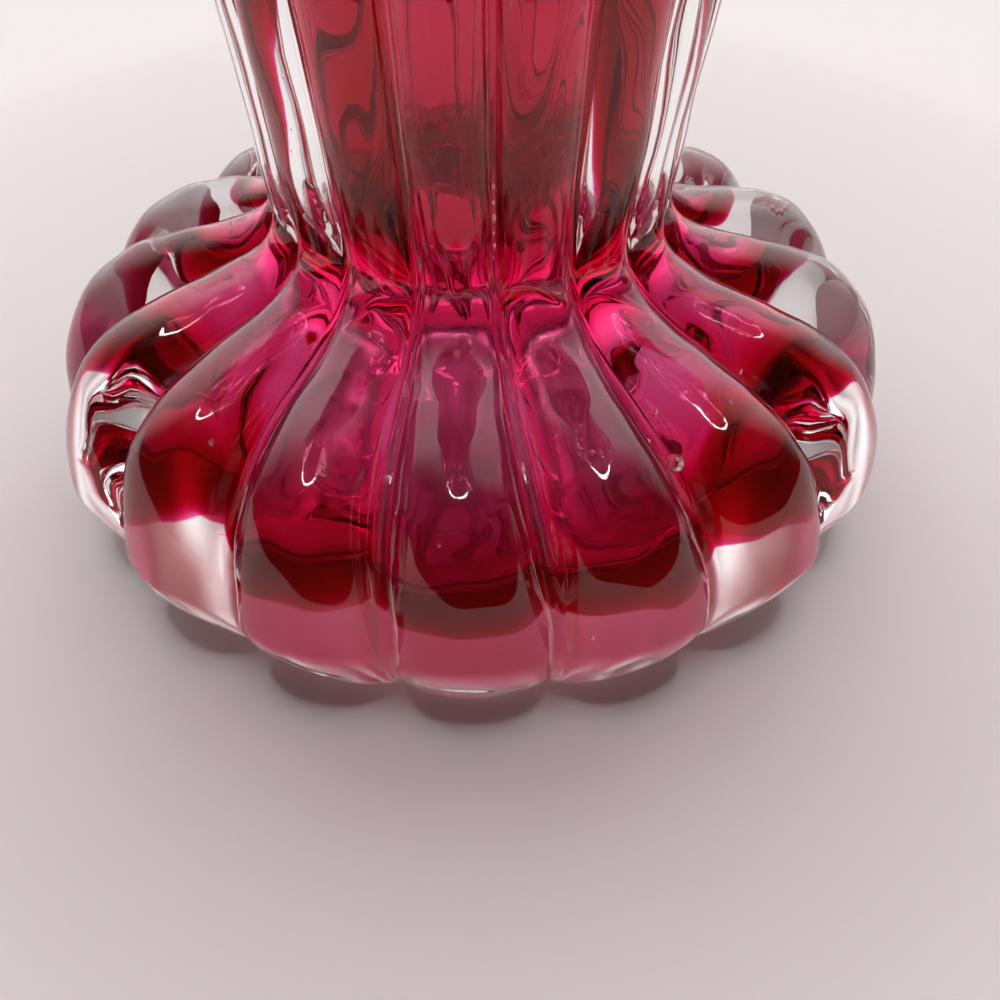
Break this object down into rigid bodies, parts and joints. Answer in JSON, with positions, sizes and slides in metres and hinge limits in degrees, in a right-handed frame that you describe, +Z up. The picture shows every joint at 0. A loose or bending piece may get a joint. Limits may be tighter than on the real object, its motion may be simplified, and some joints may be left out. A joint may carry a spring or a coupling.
{
  "type": "jack in the pulpit vase",
  "caption": "Ribbed cased glass vase with a scalloped blown foot, a flaring stem and a lopsided flower mouth, a cranberry lining in thick clear glass.",
  "frame": {"origin": "middle of the ground base, where the vase rests", "axes": "+Z up the stem, -Y towards the flower's rolled front lip, +Y towards its upright point"},
  "size_m": [0.161, 0.16, 0.2503],
  "materials": {
    "clear_glass": "fire-polished clear glass, smooth and wet-looking",
    "ruby_glass": "fire-polished cranberry glass, deep red where it is thick and pink where it is thin"
  },
  "bodies": {
    "root": {"clear_casing": "clear_glass", "cranberry_lining": "ruby_glass"}
  },
  "joints": []
}
